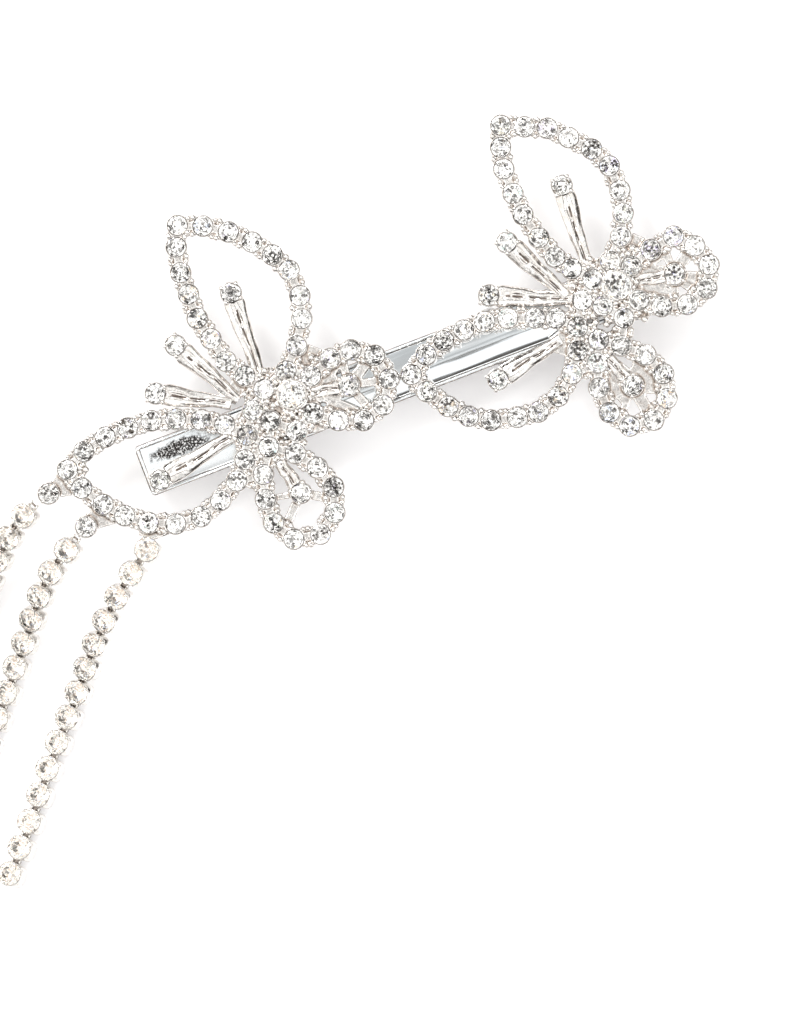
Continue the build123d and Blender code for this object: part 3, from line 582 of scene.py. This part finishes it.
def butterfly(side, seed):
    rng = random.Random(seed)
    wings = centres(f"{side}_wing_stones")
    body = centres(f"{side}_body_stones")
    heads = centres(f"{side}_arm_stones")
    mid = centres(f"{side}_centre_stone")[0]
    lugs = [plan(p) for p in LUGS[side]]
    small = [p.xy for p in wings + body]
    lug_stones = [p for p in small if any((p - l).length < 0.3 for l in lugs)]
    run = [p for p in small if p not in lug_stones]
    head2 = [p.xy for p in heads]
    holes = [(p, 0.98) for p in small + head2] + [(mid.xy, 1.35)]

    # beads each side of the gaps between neighbouring stones, as in the CAD casting
    other = "right" if side == "left" else "left"
    clear = [(p, 1.06) for p in small + head2] + [(mid.xy, 1.72)] + [(p.xy, 1.75) for p in centres(f"{other}_wing_stones")]
    seq = run + [mid.xy]
    spots = []
    for i, p in enumerate(seq):
        for q in seq[i + 1:]:
            dd = (q - p).length
            if dd > 3.25:
                continue
            c, u = (p + q) / 2, (q - p) / dd
            n = Vector((-u.y, u.x))
            for s in (-1, 1):
                pair = [(-0.27, 0.27), (0.27, 0.31)] if dd > 2.62 else [(0.0, 0.35)]
                for along, r in pair:
                    r *= rng.uniform(0.92, 1.1)
                    bd = c + n * (0.93 + rng.uniform(-0.03, 0.10)) * s + u * along
                    room = min((bd - t).length - rr for t, rr in clear)
                    if room > r - 0.06 and all((bd - o).length > 0.42 for o, _ in spots):
                        spots.append((bd, min(r, room + 0.06)))

    # pockets between three or more stones hold a bead as large as fits
    gx = [p.x for p in seq]
    gy = [p.y for p in seq]
    pockets = []
    x = min(gx)
    while x < max(gx):
        y = min(gy)
        while y < max(gy):
            c = Vector((x, y))
            few = sum((c - p).length < 2.42 for p in seq) >= 3 and (c - mid.xy).length < 5.6
            if few or sum((c - p).length < 2.15 for p in seq) >= 3:
                room = min((c - t).length - rr for t, rr in clear)
                if room > 0.18:
                    pockets.append((room, c))
            y += 0.13
        x += 0.13
    for room, c in sorted(pockets, key=lambda t: -t[0]):
        r = min(0.40, room + 0.04)
        if all((c - o).length > (r + ro) * 0.82 for o, ro in spots):
            spots.append((c, r))

    # skin: seats, webs, bead stems and lugs melted into one casting
    skin = Build()
    seat = [(0.80, Z0 + 0.05), (0.95, Z0), (1.14, Z0), (1.26, Z0 + 0.22), (1.30, Z0 + 0.65), (1.27, RIM - 0.20), (1.20, RIM - 0.10), (1.14, RIM - 0.12), (1.02, SHOULDER + 0.05), (0.82, SHOULDER)]
    for p in run:
        lathe(skin, [(r * rng.uniform(0.985, 1.02) if r > 1.1 else r, z) for r, z in seat], at((p.x, p.y, 0)), 28)
    for p in head2 + lug_stones:
        lathe(skin, [(r * 1.03, z) for r, z in seat], at((p.x, p.y, 0)), 28)
    lathe(skin, [(1.2, Z0), (1.85, Z0), (1.98, Z0 + 0.3), (1.96, 7.95), (1.86, 8.12), (1.74, 8.16), (1.2, 8.0)], at((mid.x, mid.y, 0)), 40)
    for i, p in enumerate(run):
        for q in run[i + 1:]:
            if (p - q).length < 3.35:
                short_bar(skin, p, q, 1.6, Z0 + 0.04, 7.86, holes)
                short_bar(skin, p, q, 0.9, Z0 + 0.04, 7.98, holes)
    for p in run:
        if (p - mid.xy).length < 3.6:
            short_bar(skin, p, mid.xy, 1.7, Z0 + 0.04, 7.8, holes)
    near = [p for p in run if (p - mid.xy).length < 6.2]
    for i, p in enumerate(near):
        for q in near[i + 1:]:
            if (p - q).length < 4.9:
                short_bar(skin, p, q, 1.9 if (p - q).length < 3.9 else 1.4, Z0 + 0.1, 7.72, holes)
    for p in near:
        short_bar(skin, p, mid.xy, 1.9, Z0 + 0.1, 7.72, holes)
    for p, q, w in WEBS[side]:
        short_bar(skin, plan(p), plan(q), w, Z0 + 0.06, 7.66, holes)
    for s, r in spots:
        lathe(skin, [(0.0, Z0 + 0.02), (r + 0.06, Z0 + 0.04), (r + 0.04, 7.6), (r - 0.04, 7.95), (0.0, 8.0)], at((s.x, s.y, 0)), 12, closed=False)
    b = Build()
    v, f = remeshed(skin, 0.105, side)
    b.add(v, f, mat=2)

    # crisp detail on the skin
    for s, r in spots:
        ball(b, (s.x, s.y, 8.18 + rng.uniform(-0.04, 0.06)), r, 14, 10)
    # a dark ring round each stone, partly cement and partly painted shade at its edge
    for p, r, z in [(c, STONE_R + 0.035, GIRDLE - 0.02) for c in small + head2] + [(mid.xy, CENTRE_R + 0.03, 8.44)]:
        lean = Vector((rng.uniform(-0.03, 0.03), rng.uniform(-0.03, 0.03), 1))
        lathe(b, [(r - 0.035, -0.05), (r + 0.03, -0.05), (r + 0.03, 0.02), (r - 0.035, 0.02)], at((p.x, p.y, z), None, lean), 32, mat=1)
    for p, q in ARMS[side]:
        arm(b, plan(p), plan(q), rng)
    for (pp, qq), h in [(a, min(head2, key=lambda c: (c - plan(a[0])).length)) for a in ARMS[side]]:
        d = (plan(pp) - plan(qq)).normalized()
        turn = math.atan2(d.y, d.x) + math.pi / 4
        for k in range(4):
            o = Vector((math.cos(turn + k * math.pi / 2), math.sin(turn + k * math.pi / 2)))
            c = h + o * 1.27
            tube(b, [(c.x, c.y, Z0 + 0.1), (c.x, c.y, 7.9), (c.x - o.x * 0.03, c.y - o.y * 0.03, 8.25)], [0.30, 0.29, 0.25], 12)
            ball(b, (c.x - o.x * 0.04, c.y - o.y * 0.04, 8.30), 0.27, 12, 8)
    for l in lug_stones:
        for k in range(4):
            o = Vector((math.cos(0.6 + k * math.pi / 2), math.sin(0.6 + k * math.pi / 2)))
            claw(b, Vector((l.x, l.y, 0)), o, Z0 + 0.2, 8.32, 0.17, 1.08)
    # stepped bezel round the big stone, with a ring of beads on the step
    lathe(b, [(1.50, 8.05), (1.72, 8.05), (1.75, 8.35), (1.72, 8.58), (1.63, 8.66), (1.54, 8.62), (1.50, 8.45)], at((mid.x, mid.y, 0)), 48)
    for k in range(13):
        t = 2 * math.pi * k / 13
        c = mid.xy + Vector((math.cos(t), math.sin(t))) * 1.99
        if all((c - p).length > 1.32 for p in run):
            ball(b, (c.x, c.y, 8.24), 0.25, 12, 8)
    for k in range(6):
        o = Vector((math.cos(0.4 + k * math.pi / 3), math.sin(0.4 + k * math.pi / 3)))
        claw(b, Vector((mid.x, mid.y, 0)), o, 8.1, 8.78, 0.13, 1.50)
    piece = obj(f"{side}_cast_butterfly", b.mesh(f"{side}_cast_butterfly"), [PLATE, SHADE, CAST])
    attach(piece, "root")
    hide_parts(f"{side}_butterfly")

    # stones
    for node, pts, r, z in ((f"{side}_wing_stones", wings, STONE_R, GIRDLE), (f"{side}_body_stones", body, STONE_R, GIRDLE + 0.02),
                            (f"{side}_arm_stones", heads, STONE_R * 1.02, GIRDLE + 0.02), (f"{side}_centre_stone", [mid], CENTRE_R, 8.42)):
        g = Build()
        for p in pts:
            add_gem(g, (p.x, p.y, z), r, rng)
        o = obj(node + "_cut", g.mesh(node + "_cut"), [GLASS, FOIL])
        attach(o, "root")
        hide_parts(node)


butterfly("left", 11)
butterfly("right", 23)


# ------------------------------------------------------------------ cup chain
def superring(rx, ry, z, n=32, power=4.0):
    pts = []
    for i in range(n):
        t = 2 * math.pi * i / n
        c, s = math.cos(t), math.sin(t)
        k = (abs(c / rx) ** power + abs(s / ry) ** power) ** (-1 / power)
        pts.append((c * k, s * k, z))
    return pts


def skin_rings(b, rings, cap0=True, cap1=True, mat=0):
    n = len(rings[0])
    verts = [p for r in rings for p in r]
    faces = [(j * n + i, j * n + (i + 1) % n, (j + 1) * n + (i + 1) % n, (j + 1) * n + i) for j in range(len(rings) - 1) for i in range(n)]
    if cap0:
        faces.append(tuple(range(n))[::-1])
    if cap1:
        faces.append(tuple(range((len(rings) - 1) * n, len(rings) * n)))
    b.add(verts, faces, mat, True)


def cup_mesh(name, tongue=True, fork=True, half=1.595):
    """One chain cup about its hinge height: stamped cup, four claws, tongue with eye in front, fork and pin behind."""
    b = Build()
    rings = [superring(1.10, 1.16, -0.34), superring(1.27, 1.34, -0.33), superring(1.33, 1.39, -0.25), superring(1.34, 1.40, -0.1, power=4.0),
             superring(1.34, 1.40, 0.3, power=3.6), superring(1.35, 1.40, 0.50, power=3.0), superring(1.37, 1.40, 0.64, power=2.5), superring(1.39, 1.40, 0.76, power=2.1),
             superring(1.415, 1.415, 0.84, power=2.0), superring(1.425, 1.425, 0.92, power=2.0), superring(1.415, 1.415, 0.96, power=2.0), superring(1.385, 1.385, 0.97, power=2.0),
             superring(1.34, 1.34, 0.93, power=2.0), superring(1.22, 1.22, 0.76, power=2.0), superring(0.7, 0.7, 0.2, power=2.0), superring(0.2, 0.2, -0.1, power=2.0)]
    rings = [[(x, y + 0.26 * max(0.0, 0.84 - z) / 1.2 * (1 if k < 9 else 0), z) for x, y, z in ring] for k, ring in enumerate(rings)]
    skin_rings(b, rings)
    for k in range(4):
        t = math.pi / 4 + k * math.pi / 2
        o = Vector((math.cos(t), math.sin(t)))
        pts = [Vector((o.x * d, o.y * d, z)) for d, z in ((1.28, 0.55), (1.42, 0.80), (1.43, 1.02), (1.34, 1.15), (1.20, 1.21))]
        tube(b, pts, [0.10, 0.16, 0.16, 0.13, 0.09], 10, up=(o.x, o.y, 0), flat=0.75)
        ball(b, pts[-1], 0.10, 10, 6, 0.8)
    if tongue:
        # painted shade: tongue and its eye take the dark link finish, standing in for the shade between cups
        tube(b, [(0.8, 0, 0.0), (half - 0.25, 0, 0.0)], [0.20, 0.19], 12, mat=1, flat=0.75)
        lathe(b, [(0.17, -0.25), (0.31, -0.25), (0.34, -0.2), (0.34, 0.2), (0.31, 0.25), (0.17, 0.25)], at((half, 0, 0), (1, 0, 0), (0, 1, 0)), 20, mat=1)
    if fork:
        # painted shade: pin and fork arms take the dark link finish too
        tube(b, [(-half, -0.56, 0), (-half, 0.56, 0)], [0.13, 0.13], 12, mat=1, up=(0, 0, 1))
        for s in (-1, 1):
            lathe(b, [(0.0, -0.11), (0.31, -0.11), (0.34, -0.07), (0.34, 0.07), (0.31, 0.11), (0.0, 0.11)], at((-half, s * 0.42, 0), (1, 0, 0), (0, 1, 0)), 20, closed=False)
            tube(b, [(-half + 0.1, s * 0.42, 0), (-0.8, s * 0.42, 0)], [0.13, 0.13], 10, mat=1)
    # shade line under the stone's edge
    lathe(b, [(1.32, 0.93), (1.375, 0.95), (1.375, 0.985), (1.32, 0.97)], at((0, 0, 0)), 36, mat=1)
    return b


CUP_FULL, CUP_LAST, CUP_ROOT = (cup_mesh("c").mesh(n) for n in ("chain_cup_full", "x", "y"))
bpy.data.meshes.remove(CUP_LAST)
bpy.data.meshes.remove(CUP_ROOT)
CUP_FULL.materials.append(CUP)
CUP_FULL.materials.append(LINK_SHADE)
CUP_LAST = cup_mesh("l", tongue=False).mesh("chain_cup_last")
CUP_LAST.materials.append(CUP)
CUP_LAST.materials.append(LINK_SHADE)
CUP_ROOT = cup_mesh("r", fork=False).mesh("chain_cup_root")
CUP_ROOT.materials.append(CUP)
CUP_ROOT.materials.append(LINK_SHADE)


def chain_piece(name, mesh, place, body, node, rng):
    """Places one cup and its stone. The objects keep their own local frames."""
    m = place.copy()
    m.translation = place.translation * MM
    cup = bpy.data.objects.new(name + "_cup", mesh)
    bpy.context.scene.collection.objects.link(cup)
    cup.matrix_world = m
    g = Build()
    add_gem(g, (0, 0, 0.97), CHAIN_R, rng, lean=3.0)
    stone = obj(name + "_stone", g.mesh(name + "_stone"), [WARM_GLASS, WARM_FOIL])
    stone.matrix_world = m
    for o in (cup, stone):
        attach(o, body)
        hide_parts(node)


HINGE = {j["name"]: (v3(j["pos_m"]) * 1000, v3(j["axis"])) for j in RECORD["behaviour"]["joints"]}
for s in (1, 2, 3):
    rng = random.Random(100 + s)
    n = sum(1 for k in HINGE if k.startswith(f"strand_{s}_link_"))
    pts = [HINGE[f"strand_{s}_link_{i:02d}_hinge"] for i in range(1, n + 1)]
    for i in range(n):
        p, a = pts[i]
        if i + 1 < n:
            q, a2 = pts[i + 1]
            x = (q - p).normalized()
            y = (a + a2).normalized()
        else:
            x = (p - pts[i - 1][0]).normalized()
            y = a
            q = p + x * 3.19
        z = x.cross(y).normalized()
        place = at((p + q) / 2, x, z)
        name = f"strand_{s}_link_{i + 1:02d}"
        chain_piece(name, CUP_FULL if i + 1 < n else CUP_LAST, place, name, name, rng)

_r0, _ = HINGE["strand_3_link_01_hinge"]
_rc = W(-2.75, -8.38, 7.55)
_rx = Vector((_r0.x - _rc.x, _r0.y - _rc.y, 0)).normalized()
chain_piece("strand_3_root", CUP_ROOT, at(_rc, _rx), "root", "strand_3_root_cup", random.Random(7))


# ------------------------------------------------------------------ clip
def bar():
    """Polished bar: slightly crowned top between two raised edges, rounded corners, and the ears for the rivet."""
    b = Build()
    z0, z1 = BAR_TOP - BAR_T, BAR_TOP
    cols = [(-3.0, z0 + 0.12), (-3.0, z1 - 0.20), (-2.90, z1 - 0.05), (-2.80, z1), (-2.66, z1 - 0.02), (-2.58, z1 - 0.14), (-2.48, z1 - 0.262), (-2.38, z1 - 0.259), (-2.16, z1 - 0.250), (-1.93, z1 - 0.222), (-1.87, z1 - 0.215), (-1.4, z1 - 0.154), (-1.0, z1 - 0.102),
            (-0.62, z1 - 0.052), (-0.58, z1 - 0.049), (0.0, z1 - 0.085), (0.9, z1 - 0.144), (1.7, z1 - 0.197), (2.38, z1 - 0.243), (2.48, z1 - 0.25), (2.58, z1 - 0.14), (2.66, z1 - 0.02), (2.80, z1), (2.90, z1 - 0.05),
            (3.0, z1 - 0.20), (3.0, z0 + 0.12), (2.88, z0), (-2.88, z0)]
    xs = [0.0, 0.05, 0.15, 0.30, 0.42, 0.52, 0.9] + [1.5 + i * 1.5 for i in range(37)] + [BAR_L - 0.9, BAR_L - 0.5, BAR_L - 0.3, BAR_L - 0.15, BAR_L - 0.05, BAR_L]
    verts = []
    for x in xs:
        e = min(x, BAR_L - x)
        pull = 0.45 - math.sqrt(max(0.0, 0.45 ** 2 - (0.45 - min(e, 0.45)) ** 2))
        drop = 0.20 * (1 - min(1.0, e / 0.30)) ** 2
        rim = max(0.0, min(1.0, (0.62 - e) / 0.20))
        for y, z in cols:
            yy = y * (1 - pull / 3.0)
            top = z > z0 + 0.3
            if top and abs(y) < 2.7:
                z = z + (z1 - z) * rim
            if top:
                z -= drop
            verts.append(W(x, yy, z))
    m, k = len(cols), len(xs)
    faces = [(i * m + j, (i + 1) * m + j, (i + 1) * m + (j + 1) % m, i * m + (j + 1) % m) for i in range(k - 1) for j in range(m)]
    # painted shade: the rounded outer edges, the inner walls of the raised borders and three cross-bands at the free
    # end take the dark link finish, standing in for the shaded outlines along the bar
    mats = [1 if j in (1, 5, 19, 23) or (i in (0, 1, 4) and 5 <= j <= 19) else 2 if j == 0 or j >= 24 else 0 for i in range(k - 1) for j in range(m)]
    faces += [tuple(range(m)), tuple(range((k - 1) * m, k * m))[::-1]]
    b.add(verts, faces, mats + [2, 2])
    # ears, each a solid rounded tab reaching up into the bar; the rivet passes through it
    px, pz = 43.0, 3.4
    for s in (-1, 1):
        y0, y1 = s * 2.2, s * 3.0
        out, n = [], 20
        for i in range(n + 1):
            t = math.pi + math.pi * i / n
            out.append((px + 1.5 * math.cos(t), pz + 1.5 * math.sin(t)))
        out = [(px - 1.5, z0 + 0.3), (px - 1.5, 4.4)] + out + [(px + 1.5, 4.4), (px + 1.5, z0 + 0.3)]
        inner = [(x + (px - x) * 0.05, z + (pz + 0.6 - z) * 0.05) for x, z in out]
        rings = [inner, out, out, inner]
        ys = [y0, y0 + s * 0.1, y1 - s * 0.1, y1]
        vs = [W(x, y, z) for ring, y in zip(rings, ys) for x, z in ring]
        n = len(out)
        fs = [(j * n + i, j * n + (i + 1) % n, (j + 1) * n + (i + 1) % n, (j + 1) * n + i) for j in range(3) for i in range(n)]
        fs += [tuple(range(n))[::-1], tuple(range(3 * n, 4 * n))]
        b.add(vs, fs, 2, False)
    o = obj("polished_bar", b.mesh("polished_bar"), [MIRROR, LINK_SHADE, CLIP])
    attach(o, "root")
    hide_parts("top_bar")


bar()


def pin():
    b = Build()
    place = at(W(43.0, 0, 3.4), (1, 0, 0), (0, 1, 0))
    lathe(b, [(0.0, -3.42), (0.45, -3.40), (0.78, -3.30), (0.95, -3.14), (0.97, -3.02), (0.6, -3.0), (0.6, 3.0), (0.97, 3.02), (0.95, 3.14), (0.78, 3.30), (0.45, 3.40), (0.0, 3.42)], place, 32, closed=False)
    o = obj("rivet", b.mesh("rivet"), [CLIP])
    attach(o, "root")
    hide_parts("hinge_pin")


pin()


def dress(node, mat, width, segments=2, angle=35):
    """A CAD piece that keeps its shape: softened edges and its finish."""
    o = NODES[node]
    o.data.materials.clear()
    o.data.materials.append(mat)
    w = o.modifiers.new("weld", "WELD")
    w.merge_threshold = 1e-6
    bv = o.modifiers.new("edges", "BEVEL")
    bv.width, bv.segments, bv.limit_method, bv.angle_limit = width * MM, segments, "ANGLE", math.radians(angle)
    bv.harden_normals = False


dress("lower_jaw", CLIP, 0.08)
dress("torsion_spring", WIRE, 0.02, 1, 60)
dress("left_solder_pad", SOLDER, 0.18, 3)
dress("right_solder_pad", SOLDER, 0.18, 3)


# ------------------------------------------------------------------ floor, light, camera
def floor():
    me = bpy.data.meshes.new("floor")
    s = 3.0
    me.from_pydata([(-s, -s, 0), (s, -s, 0), (s, s, 0), (-s, s, 0)], [], [(0, 1, 2, 3)])
    m, nt, p = material("pale_board")
    vec = coords(nt)
    nt.links.new(ramp(nt, noise(nt, vec, 0.05, 3.0), [(0.3, (0.90, 0.90, 0.905)), (0.7, (0.93, 0.93, 0.935))]), p.inputs["Base Color"])
    nt.links.new(remap(nt, noise(nt, vec, 0.8, 2.0), 0.55, 0.7), p.inputs["Roughness"])
    p.inputs["Specular IOR Level"].default_value = 0.2
    nt.links.new(ramp(nt, noise(nt, vec, 0.03, 2.0), [(0.3, (0.98, 0.95, 0.97)), (0.7, (1.0, 0.98, 0.99))]), p.inputs["Emission Color"])
    p.inputs["Emission Strength"].default_value = 0.22
    o = obj("floor", me, [m])
    o.location.z = -0.00002


floor()

THETA = math.radians(21.0)
RIGHT, UP = Vector((math.cos(THETA), -math.sin(THETA), 0)), Vector((math.sin(THETA), math.cos(THETA), 0))
AIM = W(25.54, -14.98, 7.9) * MM
DIST = 2.4
PX_PER_MM = 8.8
cam = bpy.data.cameras.new("camera")
cam.sensor_width = 36.0
cam.lens = PX_PER_MM * 1000 * DIST / 1029 * 36.0
cam.clip_start, cam.clip_end = 0.05, 40
cam_o = bpy.data.objects.new("camera", cam)
bpy.context.scene.collection.objects.link(cam_o)
cm = Matrix((RIGHT, UP, Vector((0, 0, 1)))).transposed().to_4x4()
cm.translation = AIM + Vector((0, 0, DIST))
cam_o.matrix_world = cm
bpy.context.scene.camera = cam_o


def area(name, where, size, power, colour=(1, 1, 1), size_y=None):
    l = bpy.data.lights.new(name, "AREA")
    l.energy, l.color, l.size = power, colour, size
    if size_y:
        l.shape, l.size_y = "RECTANGLE", size_y
    o = bpy.data.objects.new(name, l)
    o.location = where
    o.rotation_euler = (AIM - Vector(where)).to_track_quat("-Z", "Y").to_euler()
    bpy.context.scene.collection.objects.link(o)
    return o


area("key", AIM - RIGHT * 0.35 + UP * 0.45 + Vector((0, 0, 0.75)), 0.30, 3.0, (1.0, 0.99, 0.97))
area("fill", AIM + RIGHT * 0.6 - UP * 0.1 + Vector((0, 0, 0.7)), 0.4, 0.7, (0.96, 0.97, 1.0))


def world():
    w = bpy.data.worlds.new("studio")
    bpy.context.scene.world = w
    w.use_nodes = True
    nt = w.node_tree
    nt.nodes.clear()
    out = nt.nodes.new("ShaderNodeOutputWorld")
    bg = nt.nodes.new("ShaderNodeBackground")
    plain = nt.nodes.new("ShaderNodeBackground")
    plain.inputs["Color"].default_value = (0.95, 0.95, 0.955, 1)
    plain.inputs["Strength"].default_value = 1.0
    tc = nt.nodes.new("ShaderNodeTexCoord")
    sep = nt.nodes.new("ShaderNodeSeparateXYZ")
    nt.links.new(tc.outputs["Generated"], sep.inputs["Vector"])
    def math_node(op, a, b=None):
        n = nt.nodes.new("ShaderNodeMath")
        n.operation = op
        for i, x in enumerate((a, b)):
            if x is None:
                continue
            if isinstance(x, (int, float)):
                n.inputs[i].default_value = x
            else:
                nt.links.new(x, n.inputs[i])
        return n.outputs[0]
    az = math_node("ARCTAN2", sep.outputs["Y"], sep.outputs["X"])
    wave = math_node("SINE", math_node("ADD", math_node("MULTIPLY", az, 3.0), 4.04))
    wave2 = math_node("SINE", math_node("ADD", math_node("MULTIPLY", az, 8.0), 2.0))
    mixw = math_node("ADD", math_node("MULTIPLY", wave, 0.6), math_node("MULTIPLY", wave2, 0.4))
    def colour_ramp(fac, stops):
        r = nt.nodes.new("ShaderNodeValToRGB")
        e = r.color_ramp.elements
        while len(e) < len(stops):
            e.new(0.5)
        for el, (pos, col) in zip(e, stops):
            el.position, el.color = pos, (*col, 1)
        nt.links.new(fac, r.inputs["Fac"])
        return r.outputs["Color"]
    # low down: dark room with a few narrow soft boxes
    low = colour_ramp(math_node("MULTIPLY", math_node("ADD", mixw, 1.0), 0.5), [(0.0, (0.03, 0.027, 0.025)), (0.55, (0.09, 0.08, 0.073)), (0.72, (0.30, 0.275, 0.255)), (0.82, (1.0, 1.0, 1.0)), (1.0, (1.1, 1.1, 1.1))])
    # overhead: white tent with dark seams and the dark lens hood straight up
    seams = math_node("ABSOLUTE", math_node("SINE", math_node("ADD", math_node("MULTIPLY", az, 2.5), 0.4)))
    tent = colour_ramp(seams, [(0.0, (0.10, 0.10, 0.10)), (0.07, (0.16, 0.155, 0.15)), (0.14, (1.25, 1.25, 1.24)), (1.0, (1.5, 1.49, 1.47))])
    def facing(v):
        n = nt.nodes.new("ShaderNodeVectorMath")
        n.operation = "DOT_PRODUCT"
        nt.links.new(tc.outputs["Generated"], n.inputs[0])
        n.inputs[1].default_value = Vector(v).normalized()
        return n.outputs["Value"]
    grey = colour_ramp(facing(Vector((0, 0, 1)) + UP * 0.122), [(0.0, (0, 0, 0)), (0.9955, (0, 0, 0)), (0.9968, (1, 1, 1)), (1.0, (1, 1, 1))])
    cap = colour_ramp(facing(Vector((0, 0, 1)) - UP * 0.095 + RIGHT * 0.02), [(0.0, (0, 0, 0)), (0.9940, (0, 0, 0)), (0.9965, (1, 1, 1)), (1.0, (1, 1, 1))])
    box = colour_ramp(facing(Vector((0, 0, 0.45)) - RIGHT), [(0.0, (0, 0, 0)), (0.80, (0, 0, 0)), (0.86, (1, 1, 1)), (1.0, (1, 1, 1))])
    def mix(fac, a, b):
        n = nt.nodes.new("ShaderNodeMix")
        n.data_type = "RGBA"
        nt.links.new(fac, n.inputs["Factor"])
        for i, x in ((6, a), (7, b)):
            if isinstance(x, tuple):
                n.inputs[i].default_value = x
            else:
                nt.links.new(x, n.inputs[i])
        return n.outputs[2]
    mr = nt.nodes.new("ShaderNodeMapRange")
    mr.inputs["From Min"].default_value, mr.inputs["From Max"].default_value = 0.42, 0.60
    nt.links.new(sep.outputs["Z"], mr.inputs["Value"])
    sky = mix(box, mix(mr.outputs["Result"], low, tent), (1.35, 1.33, 1.29, 1))
    sky = mix(grey, sky, (0.46, 0.465, 0.465, 1))
    nt.links.new(mix(cap, sky, (0.07, 0.06, 0.053, 1)), bg.inputs["Color"])
    bg.inputs["Strength"].default_value = 1.0
    lp = nt.nodes.new("ShaderNodeLightPath")
    mx = nt.nodes.new("ShaderNodeMixShader")
    nt.links.new(lp.outputs["Is Camera Ray"], mx.inputs["Fac"])
    nt.links.new(bg.outputs["Background"], mx.inputs[1])
    nt.links.new(plain.outputs["Background"], mx.inputs[2])
    nt.links.new(mx.outputs["Shader"], out.inputs["Surface"])


world()
bpy.context.scene.view_settings.view_transform = "Standard"
bpy.context.scene.view_settings.look = "None"
bpy.context.scene.view_settings.exposure = 0.0
